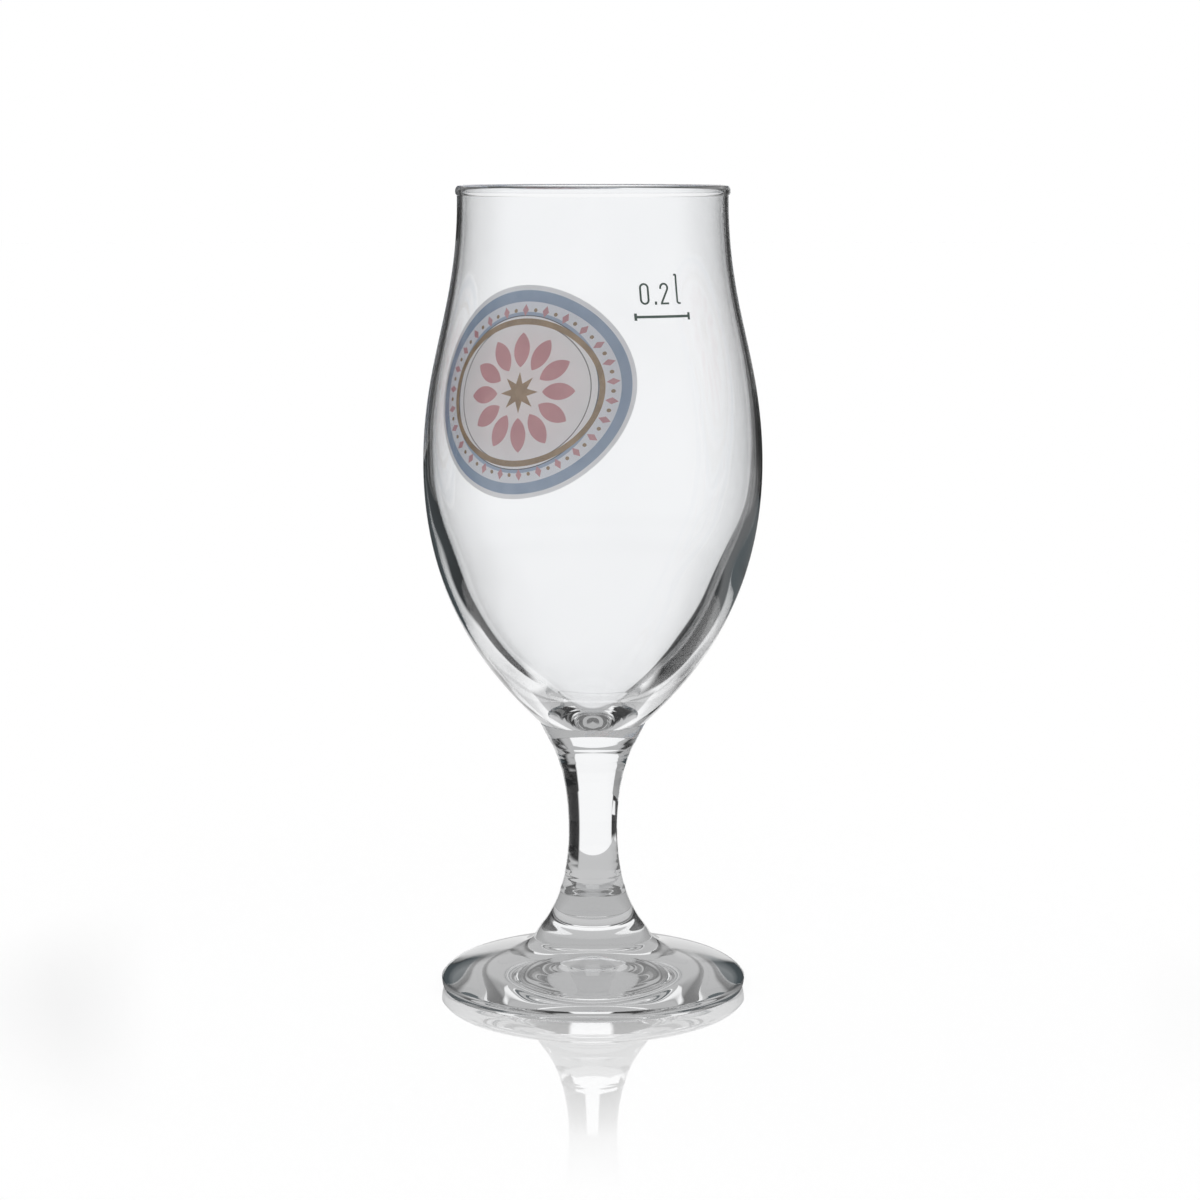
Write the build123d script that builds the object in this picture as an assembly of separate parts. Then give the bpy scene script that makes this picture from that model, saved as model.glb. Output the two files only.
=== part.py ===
# Stemmed pilsner glass for 0.2 litre: blown tulip bowl, drawn stem and pressed foot, fused hot
# one on another, with a fired decal on the back of the bowl and a fill mark on its front.
# Millimetres, +Z up, origin on the table under the middle of the foot, -Y towards the viewer.
import os
from math import cos, pi, radians, sin

from build123d import *

# Foot: a flared disc that stands on a narrow ring
foot_height = 10.4          # table to the seat of the stem
foot_radius = 31.5          # widest place of the edge
foot_edge_rise = 2.3        # height of that widest place
bearing_radius = 31.0       # outer radius of the ring that touches the table
bearing_width = 0.8
recess_depth = 1.05         # shallow hollow between the ring and the dimple
recess_shoulder = 3.2       # radial length over which the hollow rises from the ring
dimple_radius = 9.0         # round dimple in the middle of the hollow
dimple_depth = 3.4          # table to the top of the dimple
foot_seat_step = 0.25       # the foot shows this far round the stem
foot_flare_radius = 18.2    # where the flare under the stem runs out
foot_flare_rise = 7.6
foot_crown_radius = 26.4    # where the top starts to roll over to the edge
foot_crown_rise = 5.45

# Stem: solid and round, waisted, wider at both of its ends
stem_length = 45.0          # seat on the foot to the seat of the bowl
stem_foot_radius = 12.1
stem_flare_radius = 9.97
stem_flare_rise = 3.4       # rises are measured from the seat on the foot
stem_lower_radius = 6.4
stem_lower_rise = 11.3
stem_waist_radius = 5.05
stem_waist_rise = 22.8
stem_neck_radius = 5.76
stem_neck_drop = 13.3       # drops are measured from the seat of the bowl
stem_upper_radius = 8.3
stem_upper_drop = 4.9
stem_collar_step = 0.15     # the stem shows this far round the seat of the bowl

# Bowl: tulip with a thin upper wall, a heavy lower wall and a fire-polished bead on the rim
bowl_height = 110.1         # seat to the top of the rim
bowl_seat_radius = 10.67
cheek_radius = 24.15        # rises are measured from the seat of the bowl
cheek_rise = 15.8
hip_radius = 31.2
hip_rise = 30.65
belly_radius = 34.68
belly_rise = 53.6
shoulder_radius = 33.0
shoulder_rise = 71.1
flare_radius = 29.4         # where the wall has turned to stand almost upright
flare_rise = 88.0
neck_radius = 27.52
neck_drop = 3.4             # below the top of the rim
bead_radius = 27.87         # outermost place of the rim
bead_height = 2.1
neck_wall = 1.1             # walls are measured level, across the axis
flare_wall = 1.25
shoulder_wall = 1.45
belly_wall = 1.85
waist_wall_rise = 41.0      # where the wall starts to thicken downwards
waist_wall = 2.45
hip_wall = 3.7
cheek_wall = 5.4
floor_thickness = 1.35      # glass under the middle of the bowl, above the seat
floor_round_radius = 5.65   # place on the rounded floor
floor_round_rise = 2.51

# Decal: inks fired on the outside of the bowl, the ground first and the colours over it
ink = 0.1                   # thickness of one layer
decal_turn = 209.0          # degrees round from the viewer's side, at the middle of the decal
decal_rise = 65.5           # middle of the decal above the seat of the bowl
decal_width = 53.8          # along the glass
decal_height = 46.6
border_margin = 1.1         # bare ground outside the border
border_width = 2.4
hoop_gap = 3.6              # bare ground between the border and the metallic hoop
hoop_width = 1.3
petal_count = 12
petal_inner_radius = 5.6
petal_outer_radius = 13.2
petal_width = 3.8
star_points = 8
star_radius = 4.6
star_notch_radius = 2.1

# Fill mark: a bar with a tick at each end, at the height of the nominal content
nominal_content = 200000.0  # cubic millimetres
mark_turn = 27.5            # degrees round from the viewer's side
mark_length = 11.85         # along the glass
mark_stroke = 0.5
mark_tick_height = 1.4

# Heights of the seats
stem_seat = foot_height
bowl_seat = foot_height + stem_length
rim_top = bowl_seat + bowl_height
stem_collar_radius = bowl_seat_radius + stem_collar_step
foot_seat_radius = stem_foot_radius + foot_seat_step

# Shares that only shape a curve
edge_bulge = 0.75           # how far the lower edge of the foot bows out between its two ends
level_steps = 240           # slices in which the content is summed


def turned(outline):
    # A round piece from half of its section, which lies in the XZ plane.
    return revolve(make_face(outline), Axis.Z, 360)


def smooth(points, start, end):
    # A curve through the points that sets off and arrives in the given directions.
    return Spline(*points, tangents=[start, end], tangent_scalars=[1, 1])


def foot():
    seat_rim = (foot_seat_radius, 0, stem_seat)
    edge = (foot_radius, 0, foot_edge_rise)
    bearing = (bearing_radius, 0, 0)
    recess_rim = (bearing_radius - bearing_width, 0, 0)
    shoulder = (recess_rim[0] - recess_shoulder, 0, recess_depth)
    dimple = (dimple_radius, 0, recess_depth)
    crown = (0, 0, dimple_depth)
    flare = (foot_flare_radius, 0, foot_flare_rise)
    roll = (foot_crown_radius, 0, foot_crown_rise)
    bulge = (bearing_radius + (foot_radius - bearing_radius) * edge_bulge, 0, foot_edge_rise / 2)
    outline = [
        Line((0, 0, stem_seat), seat_rim),
        smooth([seat_rim, flare, roll, edge], (1, 0, -1.2), (0.6, 0, -1)),
        ThreePointArc(edge, bulge, bearing),
        Line(bearing, recess_rim),
        smooth([recess_rim, shoulder, dimple, crown], (-1, 0, 0.6), (-1, 0, 0)),
        Line(crown, (0, 0, stem_seat)),
    ]
    return turned(outline)


def stem():
    foot_rim = (stem_foot_radius, 0, stem_seat)
    flare = (stem_flare_radius, 0, stem_seat + stem_flare_rise)
    lower = (stem_lower_radius, 0, stem_seat + stem_lower_rise)
    waist = (stem_waist_radius, 0, stem_seat + stem_waist_rise)
    neck = (stem_neck_radius, 0, bowl_seat - stem_neck_drop)
    upper = (stem_upper_radius, 0, bowl_seat - stem_upper_drop)
    bowl_rim = (stem_collar_radius, 0, bowl_seat)
    flank = [foot_rim, flare, lower, waist, neck, upper, bowl_rim]
    outline = [
        Line((0, 0, stem_seat), foot_rim),
        smooth(flank, (-0.35, 0, 1), (0.4, 0, 1)),
        Line(bowl_rim, (0, 0, bowl_seat)),
        Line((0, 0, bowl_seat), (0, 0, stem_seat)),
    ]
    return turned(outline)


def bowl_outside(skin=0.0):
    # Outer curve of the bowl from its seat to the neck under the bead, moved out level by a skin.
    stations = [
        (bowl_seat_radius, 0.0),
        (cheek_radius, cheek_rise),
        (hip_radius, hip_rise),
        (belly_radius, belly_rise),
        (shoulder_radius, shoulder_rise),
        (flare_radius, flare_rise),
        (neck_radius, bowl_height - neck_drop),
    ]
    points = [(radius + skin, 0, bowl_seat + rise) for radius, rise in stations]
    return smooth(points, (1, 0, 0.95), (0, 0, 1))


def level_point(curve, rise):
    # The place on a rising curve at a height above the seat of the bowl.
    low, high = 0.0, 1.0
    for _ in range(40):
        middle = (low + high) / 2
        if (curve @ middle).Z < bowl_seat + rise:
            low = middle
        else:
            high = middle
    return curve @ low


def bowl_inside(outside):
    # Inner curve of the bowl from the middle of its floor to the neck.
    floor = bowl_seat + floor_thickness
    waist = level_point(outside, waist_wall_rise)
    points = [
        (0, 0, floor),
        (floor_round_radius, 0, floor + floor_round_rise),
        (cheek_radius - cheek_wall, 0, bowl_seat + cheek_rise),
        (hip_radius - hip_wall, 0, bowl_seat + hip_rise),
        (waist.X - waist_wall, 0, waist.Z),
        (belly_radius - belly_wall, 0, bowl_seat + belly_rise),
        (shoulder_radius - shoulder_wall, 0, bowl_seat + shoulder_rise),
        (flare_radius - flare_wall, 0, bowl_seat + flare_rise),
        (neck_radius - neck_wall, 0, rim_top - neck_drop),
    ]
    return smooth(points, (1, 0, 0), (0, 0, 1))


def bowl():
    outside = bowl_outside()
    inside = bowl_inside(outside)
    crease = (neck_radius, 0, rim_top - bead_height)
    bead = (bead_radius, 0, rim_top - bead_height / 2)
    lip = (neck_radius - neck_wall, 0, rim_top - bead_height / 2)
    crest = ((bead_radius + lip[0]) / 2, 0, rim_top)
    outline = [
        outside,
        Line(outside @ 1, crease),
        smooth([crease, bead, crest], (1, 0, 0.8), (-1, 0, 0)),
        smooth([crest, lip], (-1, 0, 0), (0, 0, -1)),
        Line(lip, inside @ 1),
        inside,
        Line(inside @ 0, (0, 0, bowl_seat)),
        Line((0, 0, bowl_seat), outside @ 0),
    ]
    return turned(outline)


def fill_height():
    # Height at which the inside holds the nominal content, summed in thin slices.
    inside = bowl_inside(bowl_outside())
    content = 0.0
    last = inside @ 0
    for step in range(1, level_steps + 1):
        place = inside @ (step / level_steps)
        slice_height = place.Z - last.Z
        slice_content = pi * (place.X**2 + place.X * last.X + last.X**2) / 3 * slice_height
        if content + slice_content >= nominal_content:
            return last.Z + slice_height * (nominal_content - content) / slice_content
        content += slice_content
        last = place
    return last.Z


def ink_shell(layer):
    # One layer of ink all round the bowl, on the glass or on the layers below it.
    near = bowl_outside(ink * layer)
    far = bowl_outside(ink * (layer + 1))
    outline = [near, Line(near @ 1, far @ 1), far, Line(far @ 0, near @ 0)]
    return turned(outline)


def printed(shape, layer, turn, height):
    # A flat shape pressed on to the bowl: the part of an ink layer that lies behind it.
    facing = Plane(
        origin=(0, 0, height),
        x_dir=(cos(radians(turn)), sin(radians(turn)), 0),
        z_dir=(sin(radians(turn)), -cos(radians(turn)), 0),
    )
    shell = ink_shell(layer)
    stamp = extrude(facing * shape, shell.bounding_box().size.X)
    return shell & stamp


def wrapped(along, up, radius):
    # A place on the flat decal, seen face on once the decal is wrapped on the bowl.
    return (radius * sin(along / radius), up)


def oval(inset, radius):
    # Outline of the decal, drawn in by an inset.
    half_width = radius * sin((decal_width / 2 - inset) / radius)
    return Ellipse(half_width, decal_height / 2 - inset)


def ring(inset, width, radius):
    return oval(inset, radius) - oval(inset + width, radius)


def polar(distance, angle, radius):
    return wrapped(distance * sin(angle), distance * cos(angle), radius)


def petal(number, radius):
    # A leaf shape with a point at each end, on a ray from the middle of the decal.
    angle = 2 * pi * number / petal_count
    middle = (petal_inner_radius + petal_outer_radius) / 2
    spread = petal_width / 2 / middle
    tip = polar(petal_outer_radius, angle, radius)
    heel = polar(petal_inner_radius, angle, radius)
    right = ThreePointArc(heel, polar(middle, angle + spread, radius), tip)
    left = ThreePointArc(tip, polar(middle, angle - spread, radius), heel)
    return make_face([right, left])


def star(radius):
    corners = []
    for number in range(2 * star_points):
        reach = star_radius if number % 2 == 0 else star_notch_radius
        corners.append(polar(reach, pi * number / star_points, radius))
    return make_face(Polyline(*corners, close=True))


def fill_mark():
    height = fill_height()
    radius = level_point(bowl_outside(), height - bowl_seat).X
    reach = radius * sin(mark_length / 2 / radius)
    tick = Rectangle(mark_stroke, mark_tick_height)
    bar = Rectangle(2 * reach, mark_stroke)
    shape = bar + Pos(reach, 0) * tick + Pos(-reach, 0) * tick
    return printed(shape, 0, mark_turn, height)


def decal():
    height = bowl_seat + decal_rise
    radius = level_point(bowl_outside(), decal_rise).X
    hoop_inset = border_margin + border_width + hoop_gap

    def layer(shape, number):
        return printed(shape, number, decal_turn, height)

    petals = [layer(petal(number, radius), 1) for number in range(petal_count)]
    return {
        "decal_ground": layer(oval(0, radius), 0),
        "decal_border": layer(ring(border_margin, border_width, radius), 1),
        "decal_hoop": layer(ring(hoop_inset, hoop_width, radius), 1),
        "decal_petals": Compound(children=petals),
        "decal_star": layer(star(radius), 1),
    }


nodes = {"foot": foot(), "stem": stem(), "bowl": bowl(), "fill_mark": fill_mark(), **decal()}

os.makedirs("parts", exist_ok=True)
for name, shape in nodes.items():
    export_step(shape, f"parts/{name}.step")

print(f"rim {rim_top:.1f}, bowl seat {bowl_seat:.1f}, fill mark {fill_height():.2f}")
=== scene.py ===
import math

import bmesh
import bpy
import numpy as np
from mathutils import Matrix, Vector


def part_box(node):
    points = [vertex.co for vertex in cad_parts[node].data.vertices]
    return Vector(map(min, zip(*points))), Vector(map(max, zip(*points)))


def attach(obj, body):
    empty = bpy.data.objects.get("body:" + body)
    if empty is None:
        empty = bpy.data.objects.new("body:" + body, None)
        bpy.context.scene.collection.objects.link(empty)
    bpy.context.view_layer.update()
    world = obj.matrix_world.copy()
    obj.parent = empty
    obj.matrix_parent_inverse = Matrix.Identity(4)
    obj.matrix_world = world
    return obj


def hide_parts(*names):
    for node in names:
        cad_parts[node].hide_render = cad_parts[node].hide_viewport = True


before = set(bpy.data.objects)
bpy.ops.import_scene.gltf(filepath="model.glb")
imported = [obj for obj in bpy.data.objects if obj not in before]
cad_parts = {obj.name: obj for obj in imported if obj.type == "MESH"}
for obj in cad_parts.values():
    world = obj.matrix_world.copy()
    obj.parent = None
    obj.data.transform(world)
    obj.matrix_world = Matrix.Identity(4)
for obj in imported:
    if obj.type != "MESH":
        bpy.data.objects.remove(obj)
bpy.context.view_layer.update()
mm = 0.001
print("frame loaded:", ", ".join(sorted(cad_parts)))


class Wire:
    # a node socket that can stand in a sum
    def __init__(self, socket):
        self.socket = socket
        self.tree = socket.id_data

    @staticmethod
    def node(tree, kind, settings=None, sockets=None, out=0):
        made = tree.nodes.new(kind)
        for name, value in (settings or {}).items():
            setattr(made, name, value)
        for name, value in (sockets or {}).items():
            if isinstance(value, Wire):
                tree.links.new(value.socket, made.inputs[name])
            else:
                made.inputs[name].default_value = value
        return Wire(made.outputs[out]) if made.outputs else None

    def sum(self, operation, other=0.0, turned=False):
        pair = (other, self) if turned else (self, other)
        return Wire.node(self.tree, "ShaderNodeMath", {"operation": operation}, dict(enumerate(pair)))

    def __add__(self, other):
        return self.sum("ADD", other)

    def __radd__(self, other):
        return self.sum("ADD", other)

    def __sub__(self, other):
        return self.sum("SUBTRACT", other)

    def __rsub__(self, other):
        return self.sum("SUBTRACT", other, True)

    def __mul__(self, other):
        return self.sum("MULTIPLY", other)

    def __rmul__(self, other):
        return self.sum("MULTIPLY", other)

    def __truediv__(self, other):
        return self.sum("DIVIDE", other)

    def __abs__(self):
        return self.sum("ABSOLUTE")

    def most(self, other):
        return self.sum("MAXIMUM", other)

    def within(self, low, high):
        # 0 at low, 1 at high, eased in between; low may be the larger one
        sockets = {"Value": self, "From Min": low, "From Max": high}
        return Wire.node(self.tree, "ShaderNodeMapRange", {"interpolation_type": "SMOOTHSTEP"}, sockets)

    def band(self, low, high, soft):
        # 1 between low and high, with soft edges
        return self.within(low - soft, low + soft) * self.within(high + soft, high - soft)


def mixColour(tree, share, first, second):
    return Wire.node(tree, "ShaderNodeMix", {"data_type": "RGBA"}, {0: share, 6: first, 7: second}, 2)


def greyOf(level):
    return mixColour(level.tree, level, (0, 0, 0, 1), (1, 1, 1, 1))


def splitVector(vector):
    first = Wire.node(vector.tree, "ShaderNodeSeparateXYZ", {}, {0: vector})
    return [Wire(out) for out in first.socket.node.outputs]


def newMaterial(name):
    made = bpy.data.materials.new(name)
    made.use_nodes = True
    made.node_tree.nodes.clear()
    return made, made.node_tree


def noise(tree, scale, detail=2.0, rough=0.5, stretch=(1, 1, 1)):
    place = Wire.node(tree, "ShaderNodeTexCoord", {}, {}, "Object")
    place = Wire.node(tree, "ShaderNodeMapping", {}, {"Vector": place, "Scale": stretch})
    sockets = {"Vector": place, "Scale": scale, "Detail": detail, "Roughness": rough}
    return Wire.node(tree, "ShaderNodeTexNoise", {}, sockets)


# Curves of the glass, in millimetres: (radius, rise) pairs
def smoothCurve(points, start, end, count):
    # cubic curve through the points, setting off and arriving in the given directions
    points = np.array(points, float)
    spans = np.linalg.norm(np.diff(points, axis=0), axis=1)
    places = np.concatenate([[0], np.cumsum(spans)])
    last = len(points) - 1
    system = np.zeros((last + 1, last + 1))
    right = np.zeros((last + 1, 2))
    system[0, 0] = system[last, last] = 1
    right[0] = np.array(start) / np.linalg.norm(start)
    right[last] = np.array(end) / np.linalg.norm(end)
    for k in range(1, last):
        before, after = spans[k - 1], spans[k]
        system[k, k - 1:k + 2] = after, 2 * (before + after), before
        rise, fall = (points[k] - points[k - 1]) / before, (points[k + 1] - points[k]) / after
        right[k] = 3 * (after * rise + before * fall)
    slopes = np.linalg.solve(system, right)
    made = []
    for at in np.linspace(0, places[-1], count):
        k = min(np.searchsorted(places, at, side="right") - 1, last - 1)
        h = spans[k]
        u = (at - places[k]) / h
        made.append(
            (2 * u**3 - 3 * u**2 + 1) * points[k] + (u**3 - 2 * u**2 + u) * h * slopes[k]
            + (3 * u**2 - 2 * u**3) * points[k + 1] + (u**3 - u**2) * h * slopes[k + 1]
        )
    return np.array(made)


def radiusAt(curve, rise):
    return np.interp(rise, curve[:, 1], curve[:, 0])


def straight(first, second, count):
    return np.linspace(first, second, count)


sharpFrom = 32  # an edge that turns by more degrees than this is a corner
seats = {node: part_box(node)[0].z / mm for node in ("foot", "stem", "bowl")}


# Round pieces
def lathe(name, stretches, segments, wave=None):
    # stretches: (points, material index, waved or not), in order along the half section from axis to axis
    rings, marks, waved = [], [], []
    for points, mark, moving in stretches:
        begin = 0 if not rings else 1
        for point in points[begin:]:
            rings.append(point)
            marks.append(mark)
            waved.append(moving)
    turn = np.linspace(0, 2 * math.pi, segments, endpoint=False)
    verts, rows = [], []
    for (radius, rise), moving in zip(rings, waved):
        if radius < 1e-6:
            rows.append([len(verts)] * segments)
            verts.append((0, 0, rise * mm))
            continue
        radii = np.full(segments, radius)
        if moving and wave:
            radii = radii + wave(turn, rise)
        rows.append(list(range(len(verts), len(verts) + segments)))
        verts += [(r * math.cos(t) * mm, r * math.sin(t) * mm, rise * mm) for r, t in zip(radii, turn)]
    faces, slots = [], []
    for k in range(len(rows) - 1):
        low, high = rows[k], rows[k + 1]
        for s in range(segments):
            e = (s + 1) % segments
            face = [low[s], low[e], high[e], high[s]]
            face = [v for i, v in enumerate(face) if v not in face[:i]]
            faces.append(face)
            slots.append(marks[k + 1])
    mesh = bpy.data.meshes.new(name)
    mesh.from_pydata(verts, [], faces)
    mesh.validate()
    mesh.polygons.foreach_set("material_index", slots)
    mesh.polygons.foreach_set("use_smooth", [True] * len(mesh.polygons))
    mesh.set_sharp_from_angle(angle=math.radians(sharpFrom))
    made = bpy.data.objects.new(name, mesh)
    bpy.context.scene.collection.objects.link(made)
    return made


glassLook = {
    "tint": ((0.968, 0.975, 0.983, 1), (0.982, 0.987, 0.994, 1)),
    "cloudScale": 40.0,
    "ior": 1.52,
    "waveScale": 55.0,
    "waveStretch": (1, 1, 0.35),  # the waves are drawn out upwards
    "waveStrength": 0.02,
    "waveDepth": 0.002,
}


def glassMaterial():
    made, tree = newMaterial("clear_glass")
    look = glassLook
    cloud = noise(tree, look["cloudScale"], 2.0)
    tint = mixColour(tree, cloud.within(0.3, 0.7), *look["tint"])
    waves = noise(tree, look["waveScale"], 1.0, 0.4, look["waveStretch"])
    bump = Wire.node(tree, "ShaderNodeBump", {}, {
        "Strength": look["waveStrength"], "Distance": look["waveDepth"], "Height": waves,
    })
    shader = Wire.node(tree, "ShaderNodeBsdfPrincipled", {}, {
        "Base Color": tint, "Roughness": 0.0, "IOR": look["ior"], "Transmission Weight": 1.0,
        "Normal": bump,
    })
    Wire.node(tree, "ShaderNodeOutputMaterial", {}, {"Surface": shader})
    return made


def weldMaterial():
    # the melted joint inside the glass, where light goes straight on
    made, tree = newMaterial("weld")
    shader = Wire.node(tree, "ShaderNodeBsdfTransparent", {}, {"Color": (1, 1, 1, 1)})
    Wire.node(tree, "ShaderNodeOutputMaterial", {}, {"Surface": shader})
    return made


clearGlass, weld = glassMaterial(), weldMaterial()


def dressGlass(piece, node):
    piece.data.materials.append(clearGlass)
    piece.data.materials.append(weld)
    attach(piece, "root")
    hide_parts(node)


bowlShape = {
    "outside": [
        (10.67, 0), (24.15, 15.8), (31.2, 30.65), (34.68, 53.6), (33.0, 71.1), (29.4, 88.0), (27.52, 106.7),
    ],
    "outsideEnds": ((1, 0.95), (0, 1)),  # directions in which the outside sets off and arrives
    "walls": [  # thickness and rise
        (5.4, 15.8), (3.7, 30.65), (2.45, 41.0), (1.85, 53.6), (1.45, 71.1), (1.25, 88.0), (1.1, 106.7),
    ],
    "floor": [(0, 1.35), (5.65, 3.86)],
    "crease": (27.52, 108.0),
    "bead": (27.87, 109.05),
    "lip": (26.42, 109.05),
    "height": 110.1,
    "ripples": [  # depth, number round the bowl, phase, rise
        (0.06, 3, 0.8, 6.5), (0.05, 5, 2.1, 4.2), (0.015, 13, 0.4, 12.0),
    ],
    "rippleStart": (8, 18),  # rises where they set in and are full
    "rippleEnd": (32, 52),   # and where they begin to fade and are faded
    "rippleLeast": 0.08,
    "outsideRings": 160,
    "insideRings": 190,
    "segments": 240,
}
outsideCurve = smoothCurve(bowlShape["outside"], *bowlShape["outsideEnds"], 600)


def ripple(turn, rise):
    # hand-made unevenness of the inner wall, fading towards the floor and the rim
    shape = bowlShape
    up = rise - seats["bowl"]
    begin, full = shape["rippleStart"]
    late, end = shape["rippleEnd"]
    fade = np.clip((up - begin) / (full - begin), 0, 1)
    fade *= np.clip((end - up) / (end - late), shape["rippleLeast"], 1)
    return fade * sum(d * np.sin(n * turn + p + up / r) for d, n, p, r in shape["ripples"])


def buildBowl():
    shape, seat = bowlShape, seats["bowl"]
    lift = np.array([0, seat])
    inside = list(shape["floor"])
    for wall, rise in shape["walls"]:
        inside.append((radiusAt(outsideCurve, rise) - wall, rise))
    insideCurve = smoothCurve(inside, (1, 0), (0, 1), shape["insideRings"])
    crest = ((shape["bead"][0] + shape["lip"][0]) / 2, shape["height"])
    stretches = [
        (straight((0, 0), shape["outside"][0], 5) + lift, 1, False),
        (smoothCurve(shape["outside"], *shape["outsideEnds"], shape["outsideRings"]) + lift, 0, False),
        (straight(shape["outside"][-1], shape["crease"], 5) + lift, 0, False),
        (smoothCurve([shape["crease"], shape["bead"], crest], (1, 0.8), (-1, 0), 16) + lift, 0, False),
        (smoothCurve([crest, shape["lip"]], (-1, 0), (0, -1), 8) + lift, 0, False),
        (straight(shape["lip"], inside[-1], 5) + lift, 0, False),
        (insideCurve[::-1] + lift, 0, True),
    ]
    dressGlass(lathe("bowl_glass", stretches, shape["segments"], ripple), "bowl")


stemShape = {
    "flank": [(12.1, 0), (9.97, 3.4), (6.4, 11.3), (5.05, 22.8), (5.76, 31.7), (8.3, 40.1), (10.82, 45.0)],
    "flankEnds": ((-0.35, 1), (0.4, 1)),
    "flankRings": 200,
    "drawn": [  # rings left from drawing the stem: rise and height
        (41.4, 0.06), (38.5, 0.05), (36.4, 0.04), (14.0, 0.04), (10.4, 0.06),
    ],
    "drawnWidth": 0.5,
    "segments": 192,
}


def buildStem():
    shape = stemShape
    lift = np.array([0, seats["stem"]])
    top = shape["flank"][-1]
    neck = (bowlShape["outside"][0][0], top[1])
    flank = smoothCurve(shape["flank"], *shape["flankEnds"], shape["flankRings"])
    for rise, height in shape["drawn"]:
        flank[:, 0] += height * np.exp(-((flank[:, 1] - rise) / shape["drawnWidth"]) ** 2)
    stretches = [
        (straight((0, 0), shape["flank"][0], 5) + lift, 1, False),
        (flank + lift, 0, False),
        (straight(top, neck, 2) + lift, 0, False),
        (straight(neck, (0, top[1]), 5) + lift, 1, False),
    ]
    dressGlass(lathe("stem_glass", stretches, shape["segments"]), "stem")


footShape = {
    "top": [(12.35, 10.4), (18.2, 7.6), (26.4, 5.45), (31.5, 2.3)],
    "topEnds": ((1, -1.2), (0.6, -1)),
    "edge": [(31.5, 2.3), (31.375, 1.15), (31.0, 0)],
    "edgeEnds": ((-0.05, -1), (-0.55, -1)),
    "recess": [(30.2, 0), (27.0, 1.05), (9.0, 1.05), (0, 3.4)],
    "recessEnds": ((-1, 0.6), (-1, 0)),
    "rings": 120,
    "edgeRings": 14,
    "segments": 256,
}


def buildFoot():
    shape = footShape
    top = shape["top"][0]
    seat = (stemShape["flank"][0][0], top[1])
    stretches = [
        (smoothCurve(shape["recess"], *shape["recessEnds"], shape["rings"])[::-1], 0, False),
        (straight(shape["recess"][0], shape["edge"][-1], 4), 0, False),
        (smoothCurve(shape["edge"], *shape["edgeEnds"], shape["edgeRings"])[::-1], 0, False),
        (smoothCurve(shape["top"], *shape["topEnds"], shape["rings"])[::-1], 0, False),
        (straight(top, seat, 2), 0, False),
        (straight(seat, (0, top[1]), 5), 1, False),
    ]
    dressGlass(lathe("foot_glass", stretches, shape["segments"]), "foot")


buildBowl()
buildStem()
buildFoot()
print("glass blown: bowl, stem and foot")


# Fired inks: flat shapes, in millimetres, laid on the outside of the bowl
inkLook = {
    "sunk": 0.02,      # the inner face lies this far in the glass, so that no air shows between
    "layer": 0.1,
    "deeper": 0.01,    # a colour shows through from inside before the ground does
    "step": 0.6,
    "cloudScale": 260.0,
    "speckScale": 2600.0,
    "speckShare": 0.25,
    "dulled": 0.12,    # how much the clouds add to the roughness
    "grain": 900.0,    # fine grain from the screen
    "relief": 0.12,
    "reliefDepth": 0.0002,
}


def layOn(turn, height):
    # gives the function that lays a flat place on the bowl, at a lift above the glass
    t = math.radians(turn)

    def place(across, up, lift):
        radius = radiusAt(outsideCurve, height + up - seats["bowl"]) + lift
        depth = math.sqrt(radius**2 - across**2)
        x = across * math.cos(t) + depth * math.sin(t)
        y = across * math.sin(t) - depth * math.cos(t)
        return (x * mm, y * mm, (height + up) * mm)

    return place


def film(name, patches, place, layer, inks):
    # patches: (grid of flat places, round or not)
    # the outer faces take the first ink, the inner ones the second
    lifts = (-inkLook["sunk"] - inkLook["deeper"] * layer, inkLook["layer"] * (layer + 1))
    made = bmesh.new()
    for grid, isRound in patches:
        rows, columns = len(grid), len(grid[0])
        inner, outer = (
            [[made.verts.new(place(a, u, lift)) for a, u in row] for row in grid] for lift in lifts
        )
        spans = columns if isRound else columns - 1
        for r in range(rows - 1):
            for c in range(spans):
                e = (c + 1) % columns
                for side, ink in ((outer, 0), (inner, 1)):
                    face = made.faces.new([side[r][c], side[r][e], side[r + 1][e], side[r + 1][c]])
                    face.material_index = ink
        if isRound:
            rims = [[(r, c) for c in range(columns)] for r in (0, rows - 1)]
        else:
            there = [(0, c) for c in range(columns)] + [(r, columns - 1) for r in range(1, rows)]
            back = [(rows - 1, c) for c in range(columns - 2, -1, -1)]
            back += [(r, 0) for r in range(rows - 2, 0, -1)]
            rims = [there + back]
        for rim in rims:
            for (r, c), (s, e) in zip(rim, rim[1:] + rim[:1]):
                made.faces.new([inner[r][c], inner[s][e], outer[s][e], outer[r][c]])
    bmesh.ops.remove_doubles(made, verts=made.verts, dist=1e-6)
    bmesh.ops.recalc_face_normals(made, faces=made.faces)
    mesh = bpy.data.meshes.new(name)
    made.to_mesh(mesh)
    made.free()
    for ink in inks:
        mesh.materials.append(ink)
    piece = bpy.data.objects.new(name, mesh)
    bpy.context.scene.collection.objects.link(piece)
    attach(piece, "root")
    return piece


def evenly(points, closed=False):
    # the same line with places no further apart than the step
    ends = points[1:] + points[:1] if closed else points[1:]
    made = []
    for first, second in zip(points, ends):
        count = max(1, math.ceil(math.dist(first, second) / inkLook["step"]))
        made += [tuple(p) for p in straight(first, second, count + 1)[:-1]]
    return made if closed else made + [points[-1]]


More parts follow.
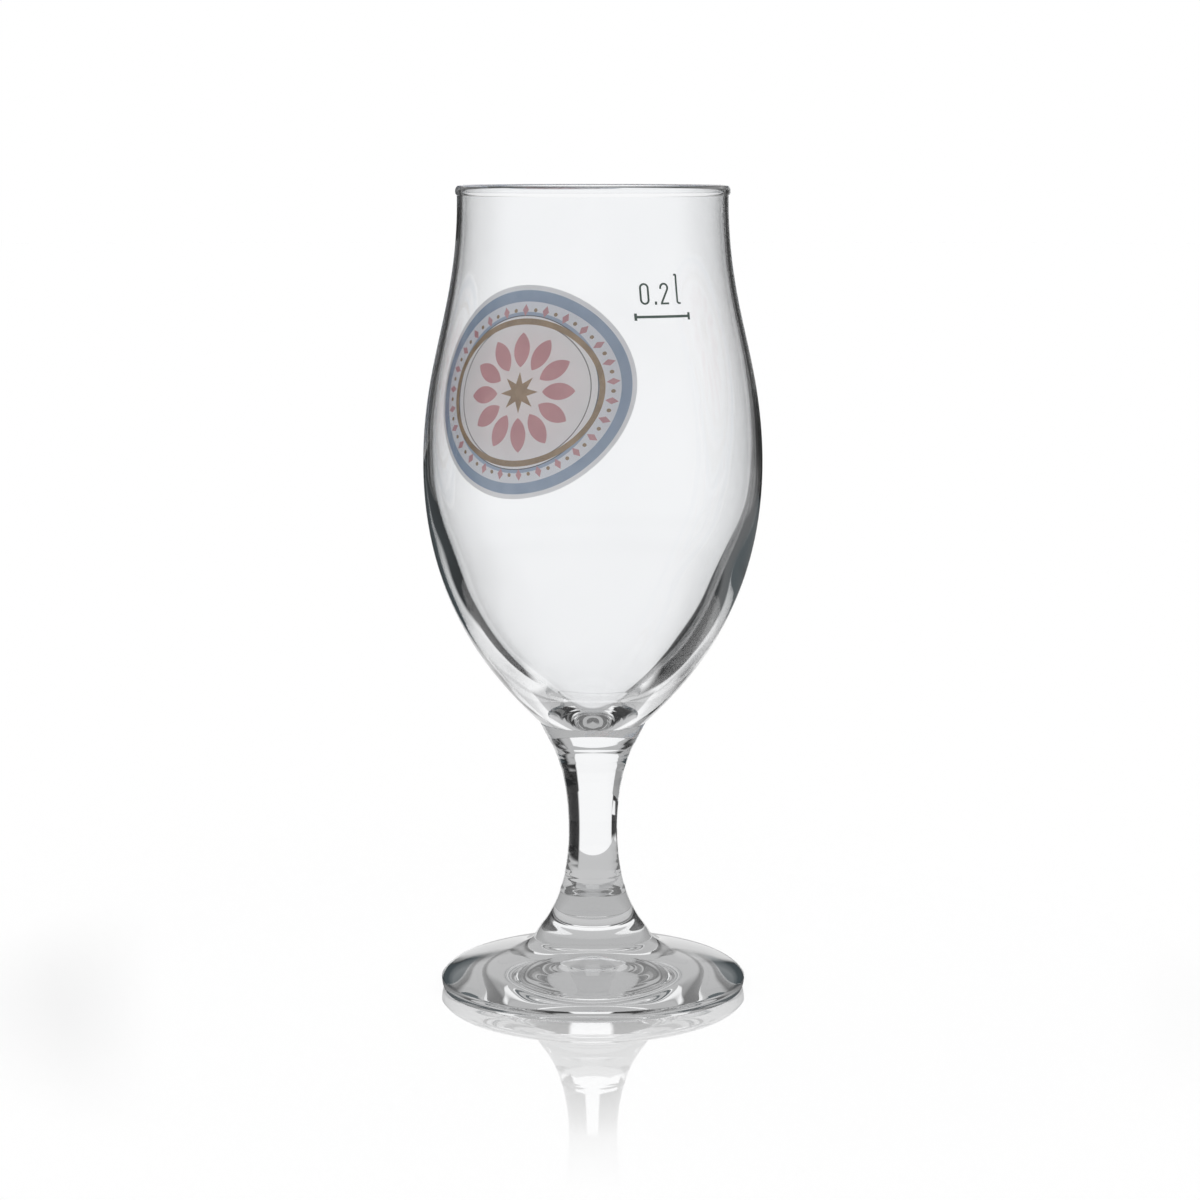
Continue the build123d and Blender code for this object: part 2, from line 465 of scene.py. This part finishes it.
def stroke(points, width, closed=False):
    # a line of even width, as a grid of places
    line = np.array(evenly(points, closed))
    before, after = np.roll(line, 1, axis=0), np.roll(line, -1, axis=0)
    if not closed:
        before[0] = 2 * line[0] - line[1]
        after[-1] = 2 * line[-1] - line[-2]
    coming = (line - before) / np.linalg.norm(line - before, axis=1, keepdims=True)
    going = (after - line) / np.linalg.norm(after - line, axis=1, keepdims=True)
    aside = np.stack([-(coming + going)[:, 1], (coming + going)[:, 0]], axis=1)
    aside = aside / np.linalg.norm(aside, axis=1, keepdims=True)
    square = np.stack([-going[:, 1], going[:, 0]], axis=1)
    reach = width / 2 / np.maximum((aside * square).sum(axis=1), 0.6)
    rows = [[tuple(p) for p in line + aside * (reach * share)[:, None]] for share in (-1, 0, 1)]
    return rows, closed


def arc(middle, radius, begin, end, count):
    angles = np.radians(np.linspace(begin, end, count))
    return [(middle[0] + radius * math.cos(a), middle[1] + radius * math.sin(a)) for a in angles]


def enamel(name, dark, light, roughness, metal=0.0):
    # fired ink: cloudy colour, a fine grain from the screen and a soft gloss
    made, tree = newMaterial(name)
    speckShare = inkLook["speckShare"]
    cloud = noise(tree, inkLook["cloudScale"], 3.0, 0.6)
    speck = noise(tree, inkLook["speckScale"], 1.0)
    share = cloud.within(0.3, 0.7) * (1 - speckShare) + speck.within(0.35, 0.75) * speckShare
    colour = mixColour(tree, share, (*dark, 1), (*light, 1))
    finish(tree, colour, cloud.within(0.2, 0.8) * inkLook["dulled"] + roughness, metal)
    return made


def finish(tree, colour, roughness, metal):
    relief = noise(tree, inkLook["grain"], 2.0)
    bump = Wire.node(tree, "ShaderNodeBump", {}, {
        "Strength": inkLook["relief"], "Distance": inkLook["reliefDepth"], "Height": relief,
    })
    shader = Wire.node(tree, "ShaderNodeBsdfPrincipled", {}, {
        "Base Color": colour, "Roughness": roughness, "Metallic": metal, "Normal": bump,
    })
    Wire.node(tree, "ShaderNodeOutputMaterial", {}, {"Surface": shader})


fillMark = {
    "turn": 27.5,
    "length": 11.85,
    "stroke": 0.5,
    "tick": 1.4,
    "figureStroke": 0.37,
    "foot": 2.53,         # lowest line of the figures above the bar, and their other places
    "top": 6.35,
    "round": 0.79,
    "zeroAt": -3.71,
    "commaAt": -1.38,
    "twoAt": 0.57,
    "litreAt": 3.46,
    "litreTop": 8.05,
    "commaDrop": (0.42, -0.22),  # where the comma begins and ends above the lowest line
    "twoBase": (-0.86, 0.92),
    "litreHook": 0.45,
    "colour": ((0.045, 0.07, 0.06), (0.075, 0.105, 0.092)),
    "roughness": 0.3,
}


def buildFillMark():
    look = fillMark
    low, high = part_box("fill_mark")
    height = (low.z + high.z) / 2 / mm
    place = layOn(look["turn"], height)
    middle = radiusAt(outsideCurve, height - seats["bowl"])
    reach = middle * math.sin(look["length"] / 2 / middle)
    tick = look["tick"] / 2
    green = enamel("green_enamel", *look["colour"], look["roughness"])
    bar = [stroke([(-reach, 0), (reach, 0)], look["stroke"])]
    bar += [stroke([(side * reach, -tick), (side * reach, tick)], look["stroke"]) for side in (-1, 1)]
    piece = film("fill_bar", bar, place, 0, (green, green))
    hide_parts("fill_mark")

    foot, top, bend, zero, two = (look[k] for k in ("foot", "top", "round", "zeroAt", "twoAt"))
    litre, comma = look["litreAt"], look["commaAt"]
    nought = arc((zero, top - bend), bend, 0, 180, 13) + arc((zero, foot + bend), bend, 180, 360, 13)
    swan = arc((two, top - bend), bend, 195, -28, 19)
    hook = look["litreHook"]
    tail = arc((litre + hook, foot + hook), hook, 195, 270, 6)
    start, stop = look["commaDrop"]
    width = look["figureStroke"]
    figures = [
        stroke(nought, width, True),
        stroke([(comma, foot + start), (comma - 0.04, foot + stop)], width * 1.15),
        stroke(swan + [(two - 0.72, foot + 0.06)], width),
        stroke([(two + end, foot) for end in look["twoBase"]], width),
        stroke([(litre - 0.5, look["litreTop"]), (litre + 0.06, look["litreTop"])], width),
        stroke([(litre, look["litreTop"]), (litre, foot + 0.5)] + tail + [(litre + 0.75, foot)], width),
    ]
    piece = film("fill_figures", figures, place, 0, (green, green))


buildFillMark()
print("fill mark printed")


decalLook = {
    "turn": 209.0,
    "width": 53.8,
    "height": 46.6,
    "borderInset": 1.1,
    "borderWidth": 2.4,
    "hoopInset": 7.1,
    "hoopWidth": 1.3,
    "outline": 0.22,
    "thinWidth": 0.95,    # second ring beside the hoop
    "petals": 12,
    "petalFrom": 5.6,
    "petalTo": 13.2,
    "petalWidth": 3.8,
    "starPoints": 8,
    "starReach": 4.6,
    "starNotch": 2.1,
    "lozenges": 26,
    "lozengeInset": 5.3,
    "lozengeLength": 2.5,
    "lozengeWidth": 1.5,
    "beadSize": 0.42,
}

# colours of the fired inks, for the outer face and for the inner one that shows through the glass
decalInks = {
    "ground": (  # darkest and lightest, then the tinted zone and the second ring
        ("white_enamel", (0.66, 0.67, 0.66), (0.74, 0.75, 0.74),
         (0.6, 0.62, 0.66), (0.2, 0.29, 0.42)),
        ("white_enamel_back", (0.86, 0.86, 0.855), (0.93, 0.925, 0.92),
         (0.8, 0.82, 0.86), (0.32, 0.42, 0.56)),
    ),
    "groundClouds": 180.0,
    # the ground's vertical streaks are painted reflections: lighter and darker bands drawn out upwards, not
    # part of the print
    "paintedReflectionStreaks": 70.0,
    "reflectionStreakStretch": (1, 1, 0.12),
    "reflectionStreakShare": 0.4,
    "groundRoughness": (0.3, 0.15),  # at least, and how much the clouds add
    "zoneShare": 0.75,     # how strongly the zone, the second ring and the outlines are printed
    "thinShare": 0.9,
    "lineShare": 0.85,
    "line": (0.06, 0.05, 0.045),
    "blue": (  # darkest and lightest, roughness, metal
        ("blue_enamel", (0.13, 0.21, 0.33), (0.18, 0.27, 0.4), 0.25, 0.0),
        ("blue_enamel_back", (0.28, 0.37, 0.5), (0.35, 0.44, 0.56), 0.3, 0.0),
    ),
    "red": (
        ("red_enamel", (0.42, 0.07, 0.08), (0.52, 0.11, 0.12), 0.25, 0.0),
        ("red_enamel_back", (0.58, 0.29, 0.31), (0.66, 0.35, 0.37), 0.3, 0.0),
    ),
    "gold": (
        ("gold_lustre", (0.5, 0.33, 0.13), (0.66, 0.46, 0.2), 0.28, 0.9),
        ("gold_lustre_back", (0.3, 0.21, 0.12), (0.46, 0.33, 0.2), 0.34, 0.2),
    ),
}


def decalMeasures():
    low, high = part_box("decal_ground")
    height = (low.z + high.z) / 2 / mm
    return height, radiusAt(outsideCurve, height - seats["bowl"])


decalHeight, decalMiddle = decalMeasures()


def wrapped(along, up):
    # a place on the flat decal, seen face on once the decal is wrapped on the bowl
    return (decalMiddle * math.sin(along / decalMiddle), up)


def ovalPlace(inset, angle):
    half = decalMiddle * math.sin((decalLook["width"] / 2 - inset) / decalMiddle)
    return (half * math.sin(angle), (decalLook["height"] / 2 - inset) * math.cos(angle))


def ovalBand(outer, inner, rows, columns=180):
    turns = np.linspace(0, 2 * math.pi, columns, endpoint=False)
    return [[ovalPlace(inset, t) for t in turns] for inset in np.linspace(outer, inner, rows)], True


def ovalDisc(rows=40, columns=180):
    turns = np.linspace(0, 2 * math.pi, columns, endpoint=False)
    rim = [ovalPlace(0, t) for t in turns]
    return [[(a * share, u * share) for a, u in rim] for share in np.linspace(1, 0, rows)], True


def leaf(middle, angle, length, width, rows=17):
    # pointed at both ends, lying along a ray of the decal
    bend = (length**2 / 4 + (width / 2)**2) / width
    grid = []
    for d in np.linspace(-length / 2, length / 2, rows):
        half = max(0.0, math.sqrt(max(0.0, bend**2 - d**2)) - (bend - width / 2))
        r = middle + d
        row = [(r * math.sin(angle) + o * math.cos(angle), r * math.cos(angle) - o * math.sin(angle))
               for o in np.linspace(-half, half, 5)]
        grid.append([wrapped(*p) for p in row])
    return grid, False


def starDisc(points, reach, notch, rows=8, steps=5):
    corners = []
    for k in range(2 * points):
        r = reach if k % 2 == 0 else notch
        corners.append((r * math.sin(math.pi * k / points), r * math.cos(math.pi * k / points)))
    rim = []
    for first, second in zip(corners, corners[1:] + corners[:1]):
        rim += [tuple(p) for p in straight(first, second, steps + 1)[:-1]]
    return [[wrapped(a * share, u * share) for a, u in rim] for share in np.linspace(1, 0, rows)], True


def spot(centre, radius, long=1.0, turn=0.0, columns=16):
    # small disc or lozenge around a place that is already wrapped
    grid = []
    for share in (1, 0.5, 0):
        row = []
        for t in np.linspace(0, 2 * math.pi, columns, endpoint=False):
            a, u = radius * share * math.cos(t), radius * long * share * math.sin(t)
            row.append((centre[0] + a * math.cos(turn) + u * math.sin(turn),
                        centre[1] - a * math.sin(turn) + u * math.cos(turn)))
        grid.append(row)
    return grid, True


def groundInk(name, dark, light, tint, second):
    # pale ground, with a tinted zone, a second thin ring and dark outlines printed into it, and painted
    # reflection streaks running upwards
    made, tree = newMaterial(name)
    look, inks = decalLook, decalInks
    place = Wire.node(tree, "ShaderNodeTexCoord", {}, {}, "Object")
    x, y, z = splitVector(place)
    t = math.radians(look["turn"])
    across = (x * math.cos(t) + y * math.sin(t)) / mm
    up = z / mm - decalHeight
    half = ovalPlace(0, math.pi / 2)[0]
    wide, tall = across / half, up / (look["height"] / 2)
    out = (wide * wide + tall * tall).sum("SQRT")
    inset = (1 - out) * (look["width"] + look["height"]) / 4
    cloud = noise(tree, inks["groundClouds"], 3.0, 0.55)
    # the clouds give the ground its uneven tone; the streaks drawn out upwards are a painted reflection
    reflectionStreak = noise(tree, inks["paintedReflectionStreaks"], 2.0, 0.5, inks["reflectionStreakStretch"])
    reflectionStreakShare = inks["reflectionStreakShare"]
    share = cloud.within(0.3, 0.7) * (1 - reflectionStreakShare) + reflectionStreak.within(0.3, 0.7) * reflectionStreakShare
    colour = mixColour(tree, share, (*dark, 1), (*light, 1))
    zone = inset.band(look["borderInset"], look["hoopInset"], 0.1)
    colour = mixColour(tree, zone * inks["zoneShare"], colour, (*tint, 1))
    thin = inset.band(look["hoopInset"] - look["thinWidth"], look["hoopInset"], 0.08)
    colour = mixColour(tree, thin * inks["thinShare"], colour, (*second, 1))
    lines = None
    for at in (look["hoopInset"] - look["outline"], look["hoopInset"] + look["hoopWidth"]):
        rim = inset.band(at, at + look["outline"], 0.05)
        lines = rim if lines is None else lines.most(rim)
    colour = mixColour(tree, lines * inks["lineShare"], colour, (*inks["line"], 1))
    least, more = inks["groundRoughness"]
    finish(tree, colour, cloud.within(0.2, 0.8) * more + least, 0.0)
    return made


def buildDecal():
    look = decalLook
    place = layOn(look["turn"], decalHeight)
    white = [groundInk(*ink) for ink in decalInks["ground"]]
    blue, red, gold = ([enamel(*ink) for ink in decalInks[name]] for name in ("blue", "red", "gold"))

    middle = (look["petalFrom"] + look["petalTo"]) / 2
    length = look["petalTo"] - look["petalFrom"]
    turns = [2 * math.pi * k / look["petals"] for k in range(look["petals"])]
    petals = [leaf(middle, turn, length, look["petalWidth"]) for turn in turns]
    lozenges, beads = [], []
    slim = look["lozengeLength"] / look["lozengeWidth"]
    for k in range(look["lozenges"]):
        step = 2 * math.pi / look["lozenges"]
        centre = ovalPlace(look["lozengeInset"], step * k)
        lozenges.append(spot(centre, look["lozengeWidth"] / 2, slim, step * k, 4))
        beads.append(spot(ovalPlace(look["lozengeInset"], step * (k + 0.5)), look["beadSize"]))
    border = ovalBand(look["borderInset"], look["borderInset"] + look["borderWidth"], 6)
    hoop = ovalBand(look["hoopInset"], look["hoopInset"] + look["hoopWidth"], 5)
    star = starDisc(look["starPoints"], look["starReach"], look["starNotch"])
    for node, patches, layer, inks, slot in (
        ("decal_ground", [ovalDisc()], 0, white, "white_enamel"),
        ("decal_border", [border], 1, blue, "blue_enamel"),
        ("decal_hoop", [hoop], 1, gold, "gold_lustre"),
        ("decal_petals", petals, 1, red, "red_enamel"),
        ("decal_star", [star], 1, gold, "gold_lustre"),
        (None, lozenges, 1, red, "red_enamel"),
        (None, beads, 1, gold, "gold_lustre"),
    ):
        name = node + "_ink" if node else "decal_lozenges" if patches is lozenges else "decal_beads"
        piece = film(name, patches, place, layer, inks)
        if node:
            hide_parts(node)


buildDecal()
print("decal fired")


# Stage: pale floor, white paper and a white panel behind the glass, a darker room beside it
# Light is plain where it meets no mirror in the glass, clear where it has passed both walls of the bowl,
# deep where it was mirrored often, guided where it runs along in a wall, and bare where it stayed outside
stageLook = {
    "panels": [  # azimuth, degrees to the left and right, lowest and highest elevation, level
        (180, 9.0, 10.5, -20, 14, 1.0),
        (270, 12.0, 12.0, -20, 14, 1.0),
        (225, -6.0, 4.0, -20, 14, 0.35),
        (45, 12.0, 12.0, -20, 14, 1.0),
    ],
    # white paper on the floor: azimuth; half width and widening, left near and far, right near and far;
    # begin and end in metres
    "paths": [
        (180, (0.0, 0.78), (0.075, 0.13), (0.0, 0.44), (0.055, 0.155), 0.03, 9.0),
        (270, (0.03, 0.16), (0.03, 0.16), (0.03, 0.16), (0.03, 0.16), 0.16, 9.0),
        (225, (0.03, 0.1), (0.03, 0.1), (0.03, 0.1), (0.03, 0.1), 0.0, 0.1),
        (225, (0.03, 0.05), (0.03, 0.05), (0.03, 0.05), (0.03, 0.05), 0.3, 1.0),
        (45, (0.03, 0.15), (0.03, 0.15), (0.03, 0.15), (0.03, 0.15), 0.0, 5.0),
    ],
    "main": 180,          # the azimuth whose panel and path all light sees, others are for plain light
    "plainLevel": 1.0,    # light on the inks and the floor
    "darkLevel": (0.015, 0.03),  # the room for plain light, and for the rest
    "softEdge": 3.0,
    "tall": 14.0,         # how much higher the panels are for plain and bare light
    "wide": (27.0, 11.5),        # how much wider to the left and right for plain light
    "pathWide": 0.65,     # and how much faster the paths widen
    "clearCount": 3.5,    # clear light went through more faces of the glass than this
    "clearLevel": 0.95,   # what it sees beside the paper
    "clearDark": (-80, -21.5, 0.11),  # but on the floor, to the right behind the glass, a dark part
    "clearEdge": 0.7,
    "deepCount": 2.5,     # deep light was mirrored more often than this
    "deepLevel": (0.12, 0.93),   # its darkest level, and its level on the strips
    "strips": (23.0, 34.0),      # white strips on both sides of the panel, in degrees, for deep light
    "stripHeights": (3, 6, 14, 17),  # elevations where a strip gets full width, and where it ends
    "guidedCount": 8.5,
    "guidedColour": (0.075, 0.092, 0.1, 1),
    "ceiling": (9, 18, 0.46),    # elevations where it begins and is full, and its level
    "openSky": (12, 20, 0.75),   # the same for bare light
    "fan": 27.0,          # how far the ceiling shows beside a panel to plain light
    "floorSoft": 0.02,    # soft ends of the shapes on the floor
    "pathEdge": 0.05,
    "near": (0.05, 0.07),        # white paper around the foot: where it begins to fade and ends
    "nearTurn": (0.2, 0.55, 0.35),   # it is white behind the foot only: from, fully, level elsewhere
    "farFloor": (0.14, 0.6, 0.9, 0.15),  # grey floor to the right: begin, fade, end, level
    "front": (0.2, 0.26, 0.4),   # floor before the glass: fade, end, level
    "room": (110, 75, 0.6),      # behind the camera: azimuths where it ends and is full, and its level
    "roomFrom": (0.2, 0.3),
    "shade": (0.028, 0.083, 0.56),   # the stem's shade on the paper behind it: half width, reach, level
    "shadeEdge": 0.003,
    "underFoot": (0.045, 0.029, 0.45),   # shade of the foot: end, fully, level
    "paper": (0.8, 0.8, 0.8, 1),
    "paperLift": 0.2,     # makes the paper white to the camera
    "mirrorShare": 0.55,
    "mirrorReach": (0.145, 0.03),
    "mirrorRoughness": 0.012,
    "floorRadius": 6.0,
    "floorDrop": 0.00005,
}


def turnedAxes(x, y, azimuth):
    # how far along a direction and across it
    a = math.radians(azimuth)
    along = x * math.sin(a) - y * math.cos(a)
    across = x * math.cos(a) + y * math.sin(a)
    return along, across


def asideAngle(x, y, azimuth):
    along, across = turnedAxes(x, y, azimuth)
    return across.sum("ARCTAN2", along) * (180 / math.pi)


def pathFlags(tree):
    path = tree.nodes.new("ShaderNodeLightPath")

    def flag(name):
        return Wire(path.outputs[name])

    fresh = flag("Diffuse Depth").sum("LESS_THAN", 0.5)
    seen = flag("Is Glossy Ray").most(flag("Is Transmission Ray")) * fresh
    plain = flag("Glossy Depth").sum("LESS_THAN", 0.5)
    clear = flag("Transmission Depth").sum("GREATER_THAN", stageLook["clearCount"]) * plain
    deep = flag("Glossy Depth").sum("GREATER_THAN", stageLook["deepCount"])
    guided = flag("Glossy Depth").sum("GREATER_THAN", stageLook["guidedCount"])
    first, rest = stageLook["darkLevel"]
    dark = (plain * (first - rest) + rest).most(deep * stageLook["deepLevel"][0])
    return flag("Is Camera Ray"), seen, plain, clear, deep, guided, dark


def roomLevel(x, y, plain, deep):
    # the pale room behind the camera, as the walls of the glass mirror it
    end, full, level = stageLook["room"]
    return abs(asideAngle(x, y, 0)).within(end, full) * (1 - plain.most(deep)) * level


def sideStrips(x, y, deep):
    aside = abs(asideAngle(x, y, stageLook["main"]))
    return aside, aside.band(*stageLook["strips"], stageLook["softEdge"] / 2) * deep


def buildWorld():
    world = bpy.data.worlds.new("studio")
    world.use_nodes = True
    tree = world.node_tree
    tree.nodes.clear()
    camera, seen, plain, clear, deep, guided, dark = pathFlags(tree)
    bare = Wire.node(tree, "ShaderNodeLightPath", {}, {}, "Transmission Depth").sum("LESS_THAN", 0.5)
    place = Wire.node(tree, "ShaderNodeTexCoord", {}, {}, "Generated")
    x, y, z = splitVector(place)
    height = z.sum("ARCSINE") * (180 / math.pi)
    begin, full, most = stageLook["ceiling"]
    above = height.within(begin, full) * most
    begin, full, most = stageLook["openSky"]
    level = (above * (1 - plain)).most(bare * height.within(begin, full) * most)
    soft, fan = stageLook["softEdge"], stageLook["fan"]
    for azimuth, left, right, low, high, strength in stageLook["panels"]:
        aside = asideAngle(x, y, azimuth)
        panel = 1.0
        for k, (side, edge) in enumerate(((1, left), (-1, right))):
            gap = plain * stageLook["wide"][k] + edge - aside * side
            panel = gap.within(-soft / 2, soft / 2) * panel
        top = plain.most(bare) * stageLook["tall"] + high
        panel = panel * height.within(low - soft, low) * height.within(top + soft, top) * strength
        level = level.most(panel if azimuth == stageLook["main"] else panel * plain)
        level = level.most(aside.band(-right - fan, left + fan, soft * 2) * above)
    aside, strips = sideStrips(x, y, deep)
    inner, outer = stageLook["strips"]
    low, wider, high, end = stageLook["stripHeights"]
    strips = strips.most(aside.within(outer, inner) * height.within(low, wider) * deep)
    level = level.most(strips * height.within(end, high) * stageLook["deepLevel"][1])
    level = level.most(roomLevel(x, y, plain, deep))
    studio = level.most(dark).most(clear * stageLook["clearLevel"])
    shown = camera.most((1 - seen) * stageLook["plainLevel"] + seen * studio)
    colour = mixColour(tree, guided * seen, greyOf(shown), stageLook["guidedColour"])
    light = Wire.node(tree, "ShaderNodeBackground", {}, {"Color": colour, "Strength": 1.0})
    Wire.node(tree, "ShaderNodeOutputWorld", {}, {"Surface": light})
    bpy.context.scene.world = world


def floorMaterial():
    made, tree = newMaterial("floor")
    camera, seen, plain, clear, deep, guided, dark = pathFlags(tree)
    place = Wire.node(tree, "ShaderNodeNewGeometry", {}, {}, "Position")
    x, y = splitVector(place)[:2]
    away = (x * x + y * y).sum("SQRT")
    soft, narrow = stageLook["floorSoft"], stageLook["pathEdge"]
    inner, outer = stageLook["near"]
    low, high, beside = stageLook["nearTurn"]
    level = away.within(outer, inner) * ((y / away).within(low, high) * (1 - beside) + beside)
    for azimuth, nearLeft, farLeft, nearRight, farRight, begin, end in stageLook["paths"]:
        along, across = turnedAxes(x, y, azimuth)
        strip = along.within(begin - soft, begin) * along.within(end + soft * 2, end)
        for side, near, far in ((1, nearLeft, farLeft), (-1, nearRight, farRight)):
            spread = along * (plain * stageLook["pathWide"] + far[1]) + far[0]
            edge = (along * near[1] + near[0]).sum("MINIMUM", spread)
            gap = (edge - across * side) / along.most(narrow)
            strip = strip * gap.within(-narrow, narrow)
        level = level.most(strip if azimuth == stageLook["main"] else strip * plain)
    level = level.most(sideStrips(x, y, deep)[1] * stageLook["deepLevel"][1])
    begin, fade, end, grey = stageLook["farFloor"]
    far = away.within(begin, begin + soft) * away.within(end, fade) * x.within(-soft, soft)
    level = level.most(far * (1 - plain) * grey)
    fade, end, grey = stageLook["front"]
    level = level.most(away.within(end, fade) * y.within(soft, -soft * 3) * grey)
    level = level.most(away.within(*stageLook["roomFrom"]) * roomLevel(x, y, plain, deep))
    low, high, grey = stageLook["clearDark"]
    dim = asideAngle(x, y, stageLook["main"]).band(low, high, stageLook["clearEdge"])
    level = level.most(dark).most(clear * (1 - dim) * stageLook["clearLevel"]).most(clear * grey)
    level = level * (1 - clear * dim * (1 - grey))
    half, reach, shade = stageLook["shade"]
    along, across = turnedAxes(x, y, stageLook["main"])
    half = plain * half * 2 + half
    rim = stageLook["shadeEdge"]
    strip = (half - abs(across)).within(-rim, rim)
    strip = strip * along.within(reach + rim, reach) * along.within(0.0, soft)
    end, full, grey = stageLook["underFoot"]
    under = away.within(end, full) * (1 - grey)
    level = level * (1 - (strip * (1 - clear) * (1 - shade)).most(under))
    lifted = greyOf(camera * stageLook["paperLift"])
    paper = Wire.node(tree, "ShaderNodeBsdfDiffuse", {}, {"Color": stageLook["paper"]})
    lift = Wire.node(tree, "ShaderNodeEmission", {}, {"Color": lifted, "Strength": 1.0})
    paper = Wire.node(tree, "ShaderNodeAddShader", {}, {0: paper, 1: lift})
    mirror = Wire.node(tree, "ShaderNodeBsdfGlossy", {}, {
        "Color": (1, 1, 1, 1), "Roughness": stageLook["mirrorRoughness"],
    })
    share = away.within(*stageLook["mirrorReach"]) * stageLook["mirrorShare"] * camera
    paper = Wire.node(tree, "ShaderNodeMixShader", {}, {0: share, 1: paper, 2: mirror})
    colour = mixColour(tree, guided, greyOf(level), stageLook["guidedColour"])
    glow = Wire.node(tree, "ShaderNodeEmission", {}, {"Color": colour, "Strength": 1.0})
    shader = Wire.node(tree, "ShaderNodeMixShader", {}, {0: seen, 1: paper, 2: glow})
    Wire.node(tree, "ShaderNodeOutputMaterial", {}, {"Surface": shader})
    return made


def buildFloor():
    reach = stageLook["floorRadius"]
    turns = np.linspace(0, 2 * math.pi, 64, endpoint=False)
    corners = [(reach * math.cos(t), reach * math.sin(t), -stageLook["floorDrop"]) for t in turns]
    mesh = bpy.data.meshes.new("floor")
    mesh.from_pydata(corners, [], [list(range(len(corners)))])
    mesh.materials.append(floorMaterial())
    made = bpy.data.objects.new("floor", mesh)
    bpy.context.scene.collection.objects.link(made)


cameraLook = {
    "place": (0.00145, -0.6817, 0.1716),
    "pitch": -7.58,
    "lens": 100.4,
    "sensor": 36,
    "nearest": 0.01,
}


def buildCamera():
    look = cameraLook
    data = bpy.data.cameras.new("camera")
    data.lens = look["lens"]
    data.sensor_width = look["sensor"]
    data.clip_start = look["nearest"]
    made = bpy.data.objects.new("camera", data)
    made.location = look["place"]
    made.rotation_euler = (math.radians(90 + look["pitch"]), 0, 0)
    bpy.context.scene.collection.objects.link(made)
    bpy.context.scene.camera = made


buildWorld()
buildFloor()
buildCamera()
scene = bpy.context.scene
scene.view_settings.view_transform = "Standard"
scene.cycles.blur_glossy = 0.0  # otherwise the glass keeps light off the inks
throughGlass = 48  # bounces, enough for light that runs along in a wall
scene.cycles.max_bounces = throughGlass
scene.cycles.transmission_bounces = throughGlass
scene.cycles.glossy_bounces = throughGlass
scene.cycles.diffuse_bounces = 12
scene.cycles.transparent_max_bounces = 32
print("stage set")
